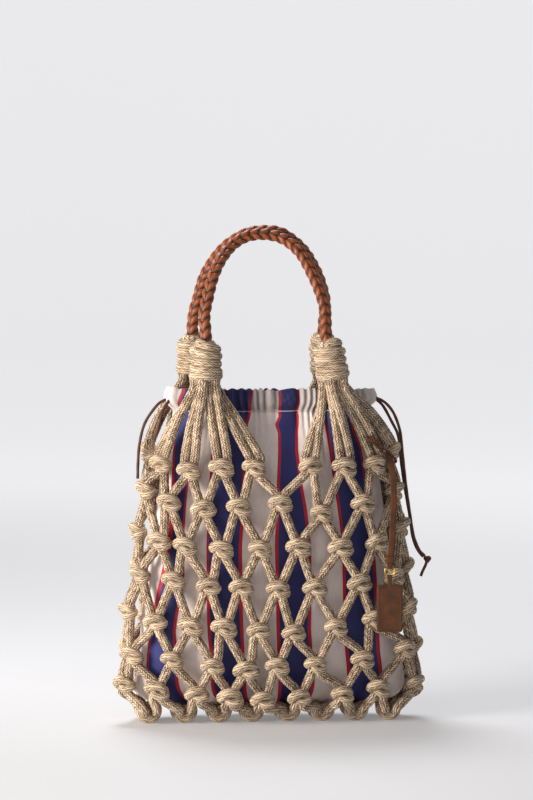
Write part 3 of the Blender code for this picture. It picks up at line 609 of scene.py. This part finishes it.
def makeBottomKnots():
    # under the bag four cords meet: collars of cord stand in a U round them, with a smaller one inside at
    # front and back, flat where they rest on the floor
    parts = []
    collar = np.array(bottom["collar"])
    deepen = Matrix.Diagonal((1, bottom["coreDeep"], 1, 1))
    for index in range(bottom["count"]):
        chance = random.Random(700 + index)
        middle = np.array((jointMiddle(index), 0.0, 0.0))
        for along, grow, lift in bottom["collars"]:
            lean = chance.uniform(-bottom["lean"], bottom["lean"])
            points = collar * (grow, 1.0, grow) + (lean, 0, 0)
            points[:, 1] = along + collar[:, 1] * math.copysign(1.0, along or 1.0)
            points[:, 2] = np.maximum(points[:, 2] + lift, bottom["cord"] - 0.3) + lean * points[:, 0] * 0.05
            part = tubePart(smoothRoute(middle + points, step=1.5), bottom["cord"] * (0.9 + 0.1 * grow),
                            knot["around"], (0, 1, 0), ribRelief, uStart=chance.uniform(0, 40))
            np.maximum(part[0][:, 2], 0.0, out=part[0][:, 2])
            parts.append(part)
        parts.append(lathePart(bottom["core"], 20, Matrix.Translation(middle) @ deepen))
    makePiece("net_joint_knots", parts, tightRope, "rope")


makeKnots()
makeBottomKnots()
print("knots made")

# Whippings: five turns of the same rope round each bundle, over a plain core

whipping = {
    "steps": 430, "around": 20, "tuck": 0.9,  # radians of turn that go in under the others at each end
    "start": 2.4, "first": 0.62, "lowest": 4.2, "dive": (1.5, 5.5),
    "slant": (2.4, 0.6, 5), "draw": (2.8, 3.4), "uneven": (0.5, 3.1),  # mm, then radians of lead, fading or beat
}


def makeWhippings():
    # a helix with both ends tucked in under the turns, slanted and drawn in at the top round the handle,
    # over a domed core with the handle's socket
    pitch = head["tall"] / head["turns"]
    tuck = whipping["tuck"]
    down, inward = whipping["dive"]
    slant, lead, slantFade = whipping["slant"]
    draw, drawFade = whipping["draw"]
    uneven, beat = whipping["uneven"]
    for name, one in heads.items():
        place = headFrame(one)
        turn = np.linspace(-tuck, 2 * np.pi * (head["turns"] + 0.1) + tuck, whipping["steps"])
        inside = np.clip(-turn, 0, None) + np.clip(turn - turn[-1] + tuck, 0, None)
        facing = (math.pi / 2 if one["y"] > 0 else -math.pi / 2) + whipping["start"]
        height = head["tall"] - pitch * whipping["first"] - pitch * np.clip(turn, 0, turn[-1] - tuck) / (2 * np.pi)
        past = np.clip(turn, 0, None)
        height = height + slant * np.cos(turn + lead) * np.exp(-past / slantFade)
        height = np.maximum(height - down * inside, whipping["lowest"])
        reach = head["wrap"] - draw * np.exp(-past / drawFade) + uneven * np.sin(turn / beat) - inward * inside
        path = np.column_stack([reach * np.cos(turn + facing), reach * np.sin(turn + facing), height])
        wrap = tubePart(path, head["cord"], whipping["around"], upwards, plaitRelief)
        top = head["tall"] - 0.6
        seat = head["tall"] - head["socket"]
        core = lathePart(((0.6, seat), (6.4, seat), (6.7, top - 1.5), (8.0, top), (10.0, top - 2.4),
                          (head["core"], top - 6.0), (head["core"], 1.0), (0.6, 0.6)), 28)
        makePiece("whipping_wound_" + name, [movedPart(wrap, place), movedPart(core, place)], tightRope, "rope",
                  "whipping_" + name)


makeWhippings()
print("whippings made")

# Handles: round plait of leather thongs, two columns of leaves to each side

handle = {
    "radius": 6, "step": 0.64, "around": 52, "columns": 4, "leaf": 9.8, "slant": 0.62, "deep": 2,
    "start": 2.35, "twist": -0.9e-3,  # columns past the side, and their slow turn, columns per mm of length
    "point": 1.25, "full": (0.55, 0.5), "square": 2.6, "edge": 0.25, "level": 0.8,  # a leaf's form, as shares
    "routes": {
        "front": ((-69, -38.5, 414), (-65.5, -35.5, 431.5), (-60.5, -31, 450), (-53.5, -25, 465.5),
                  (-45.5, -18, 476.5), (-36.5, -12, 485), (-23.5, -7.5, 491.5), (-8, -6.5, 493.5),
                  (7.5, -7.5, 491), (19.5, -12, 484.5), (30.5, -20, 473), (40.5, -29, 453.5),
                  (48, -35, 434.5), (52, -38, 418)),
        "back": ((-73.5, 39, 412), (-69.5, 36.5, 427), (-64, 31.5, 447.5), (-55.5, 25.5, 464),
                 (-46.5, 18, 476.5), (-36, 12, 486), (-22.5, 7.5, 493.5), (-6.5, 6.5, 496),
                 (9.5, 7.5, 494.5), (23, 12, 487), (37, 19.5, 474), (49.5, 29.5, 454),
                 (57, 35, 434.5), (60, 38.5, 418)),
    },
}


def leafRelief(along, turn):
    # four columns of overlapping leaves, mirrored where they meet, so that they stand in V's: each is a dome
    # drawn out to a point at its foot; the value is 1 on its back and 0 in the groove round it
    place = turn / (2 * np.pi) * handle["columns"] + handle["start"] + handle["twist"] * along + handle["columns"]
    column = np.floor(place + 1e-9)
    across = place - column
    inner = np.where(column % 2 == 0, across, 1.0 - across)
    phase = along / handle["leaf"] + handle["slant"] * inner + 0.5 * (column // 2 % 2)
    phase = phase - np.floor(phase)
    length = np.clip(np.sin(np.pi * phase ** handle["point"]), 0, 1) ** handle["full"][0]
    width = np.clip(1.0 - np.abs(2 * across - 1.0) ** handle["square"], 0, 1) ** handle["full"][1]
    return np.clip(length * (handle["edge"] + (1 - handle["edge"]) * width), 0, 1)


def leafHeight(along, turn):
    return handle["deep"] * (leafRelief(along, turn) - handle["level"])


def makeHandles():
    for side, route in handle["routes"].items():
        seat = head["foot"] + head["tall"] - head["socket"] + 2 * fit
        clear = head["foot"] + head["tall"] + 6
        left, right = heads[side + "_left"], heads[side + "_right"]
        ends = [headPoint(one, height) for one in (left, right) for height in (seat, clear)]
        path = smoothRoute([ends[0], ends[1], *route, ends[3], ends[2]], step=handle["step"])
        part = tubePart(path, handle["radius"], handle["around"], (0.0, 1.0, 0.05), leafHeight)
        piece = makePiece("handle_plaited_" + side, [part], cognacLeather, "handle_leather", "handle_" + side)
        # relief for the material: 0 in the grooves for painted shade, 1 on the leaves' backs for a painted highlight
        markPoints(piece, "relief", leafRelief(walked(path)[:, None], turns(handle["around"])[None, :]))


makeHandles()
print("handles made")

# Pouch: one sheet lofted up its sides, over the rim and down inside

pouch = {
    "sections": (  # half width, half depth, height, fold
        (112, 6, 18, 0), (127, 14, 23, 0), (136, 24, 33, 1), (137, 34, 47, 2.2),
        (134.5, 42.5, 72, 3.2), (132, 46, 105, 3.6), (126, 46, 150, 3.8), (119, 43.5, 200, 4.2),
        (113, 38, 245, 4.4), (106, 31, 285, 4.6), (102, 25, 314, 5), (109, 26.5, 326, 4.4),
        (108.5, 27.5, 340, 5.4)),
    "around": 400, "step": 2.6, "cloth": 1.4, "folds": 11, "flat": 640,
    "seam": 316, "casing": 24, "fade": 20,  # the casing's seam and height, and how far puckers run below it
    "gathers": 52, "gatherDeep": 3, "puffHalf": 0.035, "crumple": 0.35, "pleatShade": (0.32, 0.4),
    "frontPitch": 75, "repeats": 9, "leftEnd": -167, "rightEnd": 154,
    "bands": (-123.5, -48.5, 26.5, 101.5), "bandHalf": 15,
    "edges": (  # height, then the left and right edges of the four bands, thousandths of the way round
        (334, 64, 106, 152, 204, 269, 305, 357, 408), (311, 36, 88, 133, 194, 272, 307, 372, 430),
        (303, 28, 81, 126, 189, 263, 305, 376, 433), (295, 31, 79, 123, 191, 269, 301, 377, 433),
        (278, 40, 79, 124, 193, 268, 298, 378, 442), (248, 54, 78, 128, 188, 264, 301, 377, 438),
        (218, 62, 79, 130, 189, 261, 308, 380, 438), (183, 65, 82, 133, 187, 258, 312, 382, 436),
        (153, 58, 89, 137, 189, 259, 310, 378, 432), (97, 43, 80, 145, 194, 260, 307, 373, 425),
        (72, 38, 83, 149, 196, 262, 310, 378, 428), (45, 37, 84, 150, 199, 265, 316, 384, 436),
        (20, 37, 85, 150, 200, 268, 320, 388, 440)),
    "rimDrop": (1.6, 5.6, 3),  # front and back edges and right end below the left end
    "thread": {"step": 0.6, "stitch": 2.8, "thick": 0.34, "swell": 0.28, "lift": 0.15, "bow": 0.35},
}


def puckerNow(share):
    # 1 on a pucker's back and 0 in the crease beside it, with the ends left full where the lace comes out
    turn = 2 * np.pi * share
    uneven = 1.9 * np.sin(5 * turn + 1.0) + 1.3 * np.sin(9 * turn)
    pucker = np.abs(np.sin(pouch["gathers"] / 2 * turn + uneven)) ** 0.7
    puff = np.exp(-((np.abs((share + 0.25) % 0.5 - 0.25)) / pouch["puffHalf"]) ** 2)
    return pucker + (0.8 - pucker) * 0.85 * puff, puff


def pouchRing(section, inset):
    # even walk round the oval, drawn in by uneven soft folds and by puckers that fade below the casing's
    # seam; the rim is puffed between them and dips at the middles
    share = np.arange(pouch["around"]) / pouch["around"]
    halfWidth, halfDepth, height, fold = section
    place, _, out = ovalPoint(halfWidth - inset, max(halfDepth - inset, 0.5), share)
    turn = 2 * np.pi * share
    wave = 0.6 * np.sin(pouch["folds"] * turn + 1.3 * np.sin(3 * turn)) + 0.4 * np.sin(7 * turn + 2.0)
    inward = fold * (0.5 + 0.5 * wave)
    pucker, puff = puckerNow(share)
    near = np.exp(-max(pouch["seam"] - height, 0.0) / pouch["fade"])
    upCasing = min(max((height - pouch["seam"]) / pouch["casing"], 0.0), 1.0)
    swell = math.sin(math.pi * upCasing)
    crumple = np.sin(71 * turn + 0.42 * height + 2.2 * np.sin(11 * turn)) + np.sin(43 * turn - 0.6 * height)
    inward = inward + pouch["gatherDeep"] * near * (1.6 * (1 - pucker) - 0.6 * swell)
    inward = inward + pouch["crumple"] * swell * (1 - puff) * crumple
    drop = np.where(share < 0.5, pouch["rimDrop"][0], pouch["rimDrop"][1]) * np.abs(np.sin(turn)) ** 0.8
    drop = drop + pouch["rimDrop"][2] * np.clip(-np.cos(turn), 0, 1) ** 3
    lift = upCasing ** 2 * (2.9 * pucker - 2.6 - drop + 0.7 * np.sin(7 * turn))
    return place - out * inward[:, None] + upwards * (height + lift)[:, None]


def stripePlace(height):
    # flat place of the cloth round the pouch, from the front middle: the blue bands' edges stand where the
    # table puts them at each height, and whole stripe repeats go round the back
    share = np.arange(pouch["around"] + 1) / pouch["around"]
    table = np.array(pouch["edges"], float)[::-1]
    edges = [np.interp(height, table[:, 0], column) / 1000 for column in table[:, 1:].T]
    flat = [middle + side for middle in pouch["bands"] for side in (-pouch["bandHalf"], pouch["bandHalf"])]
    front = np.interp(share, [0.0, *edges, 0.5], [pouch["leftEnd"], *flat, pouch["rightEnd"]])
    around = pouch["repeats"] * pouch["frontPitch"] - (pouch["rightEnd"] - pouch["leftEnd"])
    return np.where(share <= 0.5, front, pouch["rightEnd"] + (share - 0.5) * 2 * around) * mm


def makePouch():
    sections = smoothRoute(pouch["sections"], step=pouch["step"])
    inner = smoothRoute(pouch["sections"][1:], step=3 * pouch["step"])[::-1]
    pinch = np.interp(sections[:, 2], (pouch["seam"] - 4, pouch["seam"], pouch["seam"] + 4), (0, 1.0, 0))
    rings = [pouchRing(section, tuck) for section, tuck in zip(sections, pinch)]
    rim = rings[-1] + upwards * 0.4
    rings.append(rim - unit(rim * (1, 1, 0)) * pouch["cloth"] / 2 + upwards * 0.3)
    rings += [pouchRing(section, pouch["cloth"]) for section in inner]
    rings.append(pouchRing(sections[0] + (0, 0, pouch["cloth"], 0), pouch["cloth"]))
    points = np.stack(rings)
    heights = points[:, :, 2].mean(axis=1)
    along = np.r_[0, np.cumsum(np.abs(np.diff(heights)))]
    v = np.stack([stripePlace(height) for height in heights])
    points, quads, uv = gridPart(points, along * mm, v)
    piece = makePiece("pouch_sewn", [(points, quads, uv[..., ::-1])], cotton, "striped_cotton", "pouch")
    pucker, puff = puckerNow(np.arange(pouch["around"]) / pouch["around"])
    # painted shade for the casing's tight pleats: an even share over the casing and more in the creases between
    # puckers, less at the full ends
    casing = np.clip((heights[:, None] - pouch["seam"] + 1.5) / 4, 0, 1) * (1 - 0.8 * puff)
    even, crease = pouch["pleatShade"]
    markPoints(piece, "pleats", 1 - casing * (even + crease * (1 - pucker)))
    makeStitches(sections)


def makeStitches(sections):
    # the casing's seam: short raised stitches end to end round the pouch
    level = int(np.argmin(np.abs(sections[:, 2] - pouch["seam"])))
    ring = pouchRing(sections[level], 1.0)
    ring = np.vstack([ring, ring[:1]])
    thread = pouch["thread"]
    fine = smoothRoute(ring, step=thread["step"])[:-1]
    bow = np.abs(np.sin(np.arange(len(fine)) * thread["step"] / thread["stitch"] * np.pi)) ** 0.5
    path = fine + unit(fine * (1.0, 3.0, 0.0)) * (thread["lift"] + thread["bow"] * bow)[:, None]
    part = tubePart(path, thread["thick"] + thread["swell"] * bow, 6, upwards)
    makePiece("pouch_casing_stitches", [part], seamThread, "striped_cotton")


makePouch()
print("pouch made")

# Hang tag: a doubled band round a pair of cords, a strap over the net, a D-ring and a blank plate

tag = {
    "hitch": ((96, -37.5, 291.8), (98.8, -41.8, 289.2), (104, -40.8, 284.6), (109.5, -37.8, 279.6),
              (115, -32, 274.2), (120.2, -25.6, 269.2), (124.6, -20.8, 265)),  # over the cords, to its loop end
    "across": (0.62, 0.25, 0.74), "half": 1.65,  # from one band of the hitch to the other
    "band": (2.9, 1.6, 0.6), "strap": (6.2, 1.9, 0.8),  # wide, thick, corner
    "route": ((115.6, -28, 275.5), (118.2, -32.2, 266), (120.4, -36.6, 254), (121, -41, 239),
              (120.4, -45.4, 222), (118.4, -52, 197), (116.2, -57, 175), (115.03, -59.2, 163.6)),
    "foot": np.array((115.03, -59.2, 285.1)),  # the heights from here on are below it
    "keeper": (-112, -115, -118.5), "keeperSize": (8.4, 4.4, 1.4), "ends": (-120.2, -123.2),
    "endSize": (2, 3.2, 0.9), "wire": 0.85, "ringHalf": 4.8, "ringTop": -123.9, "ringTall": 9,
    "plate": (26, 48, 2.6), "plateTop": -140.5, "plateCorner": 2.4,
    "line": 2.2, "lineCorner": 1.4, "lineThick": 0.45, "lineSunk": 0.12,
    "tab": (4.4, 2.4, 0.8), "tabTurn": 1.7, "tabEnd": (1.1, 4.4, 0.4),
    "edge": ((-0.5, 0.93), (-0.5, 0.965), (-0.36, 0.995), (-0.2, 1), (0.2, 1), (0.36, 0.995), (0.5, 0.965),
             (0.5, 0.93)),  # the plate's outlines: depth and size, as shares
}


def boxRing(wide, thick, corner, count=6):
    # a rounded oblong as (across, through) points, four corners of an arc each
    turn = np.linspace(0, np.pi / 2, count)
    arc = np.column_stack([np.cos(turn), np.sin(turn)]) * corner
    centre = np.array((wide / 2 - corner, thick / 2 - corner))
    first = centre + arc
    return np.vstack([first, (first * (-1, 1))[::-1], first * (-1, -1), (first * (1, -1))[::-1]])


def makeStrap():
    # the doubled strap lies over the cords as two bands with a rounded loop end, and comes out from under
    # them to hang down to its keeper
    centre = smoothRoute(tag["hitch"], step=0.9)
    tangent = unit(np.gradient(centre, axis=0))
    side = unit(np.array(tag["across"]) - tangent * (tangent @ np.array(tag["across"]))[:, None])
    bend = np.linspace(0, np.pi, 9)[1:-1, None]
    endTurn = centre[-1] + tag["half"] * (np.cos(bend) * side[-1] + np.sin(bend) * tangent[-1])
    startTurn = centre[0] - tag["half"] * (np.cos(bend) * side[0] + np.sin(bend) * tangent[0])
    loop = np.vstack([centre + tag["half"] * side, endTurn, (centre - tag["half"] * side)[::-1], startTurn])
    outward = unit(np.cross(side[0], tangent[0]))
    keeper = smoothRoute([tag["foot"] + (0.2, 0.6, height) for height in tag["keeper"]], step=0.8)
    parts = [sweptPart(np.vstack([loop, loop[:2]]), boxRing(*tag["band"]), outward if outward[1] < 0 else -outward),
             sweptPart(smoothRoute(tag["route"], step=1.0), boxRing(*tag["strap"]), (0, -1, 0.3)),
             sweptPart(keeper, boxRing(*tag["keeperSize"]), (0, -1, 0))]
    for height in tag["ends"]:  # the strap's end, turned round the ring's bar and stitched
        bar = [tag["foot"] + (x, -0.2, height) for x in np.linspace(-2.6, 2.6, 6)]
        parts.append(sweptPart(bar, boxRing(*tag["endSize"]), (0, 0, 1)))
    makePiece("tag_strap_cut", parts, brownLeather, "brown_leather", "tag_strap")


def makeRing():
    half, bar, corner = tag["ringHalf"], tag["ringTop"], 1.2
    arc = np.linspace(0, np.pi, 25)
    bow = np.column_stack([-half * np.cos(arc), 0 * arc, bar - tag["ringTall"] + half * (1 - np.sin(arc))])
    bend = np.linspace(0, np.pi / 2, 6)
    right = np.column_stack([half - corner + corner * np.cos(bend), 0 * bend, bar - corner + corner * np.sin(bend)])
    ring = tag["foot"] + np.vstack([bow, right, (right * (-1, 1, 1))[::-1], bow[:2]])
    makePiece("tag_ring_cast", [tubePart(ring, tag["wire"], 12, (0, 1, 0))], brass, "brass", "tag_ring")


def makePlate():
    # a rounded block from its outlines, with a creased line round each face, and the tab that loops up
    # round the ring's bow
    wide, tall, thick = tag["plate"]
    outline = boxRing(wide, tall, tag["plateCorner"], 8)
    middle = tag["foot"] + (0, 0, tag["plateTop"] - tall / 2)
    layers = []
    for depth, share in tag["edge"]:
        inset = (1 - share) * wide
        shrunk = outline * (1 - inset / wide, 1 - inset / tall)
        layers.append(np.column_stack([shrunk[:, 0], np.full(len(shrunk), depth * thick), shrunk[:, 1]]) + middle)
    points, quads, uv = gridPart(np.array(layers), np.arange(len(layers)) * mm, np.arange(len(outline) + 1) / 40)
    parts = [(points, quads[:, ::-1], uv[:, ::-1])]
    line = boxRing(wide - 2 * tag["line"], tall - 2 * tag["line"], tag["lineCorner"])
    face = thick / 2 - tag["lineSunk"]
    for depth in (-face, face):
        loop = np.column_stack([line[:, 0], np.full(len(line), depth), line[:, 1]]) + middle
        parts.append(tubePart(np.vstack([loop, loop[:2]]), tag["lineThick"], 8, (0, 1, 0)))
    tabTop = tag["ringTop"] - tag["ringTall"] + 0.2
    heights = (tag["plateTop"] - 3.0, tag["plateTop"] + 2.0, tabTop)
    tab = smoothRoute([tag["foot"] + (0, 0, height) for height in heights], step=0.8)
    turn = np.linspace(0, 2 * np.pi, 17)
    bend = tag["tabTurn"]
    loop = tag["foot"] + np.column_stack([0 * turn, bend * np.cos(turn), tabTop + bend * np.sin(turn)])
    parts += [sweptPart(tab, boxRing(*tag["tab"]), (0, -1, 0)),
              sweptPart(np.vstack([loop, loop[1:3]])[1:-1], boxRing(*tag["tabEnd"]), (1, 0, 0))]
    makePiece("tag_plate_cut", parts, brownLeather, "brown_leather", "tag_plate")


makeStrap()
makeRing()
makePlate()
print("tag made")

# Floor, backdrop and light

studio = {"near": 1600, "flat": 4600, "bend": 1200, "tall": 3000, "pool": (-0.6, -0.3, 0),
          "glow": (0.95, 2.9, 0.17, 0.71), "sideGlow": (1.25, 1.75, 0, 0.74),
          "dim": (0.22, 0.66, 0.79, 1)}  # each from and to a distance in metres, then from and to a value


def makeStudio():
    # a round paper sweep: a floor disc, then flat floor, a quarter turn and a wall; the far part doesn't
    # light the bag, so that the lamps model it
    bend = np.linspace(0, np.pi / 2, 24)
    far = np.vstack([[studio["near"], 0.0], np.column_stack([studio["flat"] + studio["bend"] * np.sin(bend),
                                                             studio["bend"] * (1 - np.cos(bend))]),
                     [studio["flat"] + studio["bend"], studio["tall"]]])
    # matt background paper, almost white, faintly cool: dimmer in the lamp's pool of light, with a glow that
    # grows away from there and behind the side lamp
    paper, shader, add = newMaterial("background paper, matt", Roughness=0.95, Specular_IOR_Level=0.1,
                                     Emission_Color=hexColour("#FBFBFD"))
    position = (add("TexCoord"), "Object")
    away = (add("VectorMath", position, studio["pool"], operation="DISTANCE"), "Value")
    glow = add("MapRange", away, *studio["glow"], interpolation_type="SMOOTHSTEP")
    sideways = add("Math", add("SeparateXYZ", position), operation="ABSOLUTE")
    sideGlow = add("MapRange", sideways, *studio["sideGlow"], interpolation_type="SMOOTHSTEP")
    grain = add("TexNoise", Vector=position, Scale=400.0)
    tint = add("MixRGB", grain, hexColour("#D0D0D3"), hexColour("#D4D4D7"))
    setInputs(shader, Emission_Strength=add("Math", glow, sideGlow, operation="MAXIMUM"),
              Base_Color=add("VectorMath", tint, Scale=add("MapRange", away, *studio["dim"]), operation="SCALE"))
    for name, profile in (("floor", np.array(((0.0, 0.0), (studio["near"], 0.0)))), ("sweep", far)):
        rings = turnedPoints(profile, 96)
        points, quads, _ = gridPart(rings, np.arange(len(profile) + 1.0), np.arange(97.0), capped=False)
        part = meshObject(name, points, quads[:, ::-1], paper)
        part.visible_diffuse = name == "floor"


lights = (  # name, place, size, power, colour
    ("key", (-1550, -800, 420), 800, 45, "#FFF8F0"),
    ("front", (-700, -1600, 1400), 1400, 6, "#FFFAF6"),
    ("top", (-200, 600, 1550), 700, 19.5, "#FFFFFF"),
)


def makeLights():
    for name, place, size, power, colour in lights:
        data = bpy.data.lights.new(name, "AREA")
        data.size = size * mm
        data.energy = power
        data.color = hexColour(colour)[:3]
        lamp = addObject(name, data)
        lamp.visible_camera = False
        lamp.location = Vector(place) * mm
        lamp.rotation_euler = (Vector((0, 0, 0.25)) - lamp.location).to_track_quat("-Z", "Y").to_euler()
    world = bpy.data.worlds.new("studio")
    world.use_nodes = True
    setInputs(world.node_tree.nodes["Background"], Color=hexColour("#F4F5F8"), Strength=0.15)
    bpy.context.scene.world = world
    bpy.context.scene.view_settings.view_transform = "Standard"


makeStudio()
makeLights()
print("studio made")
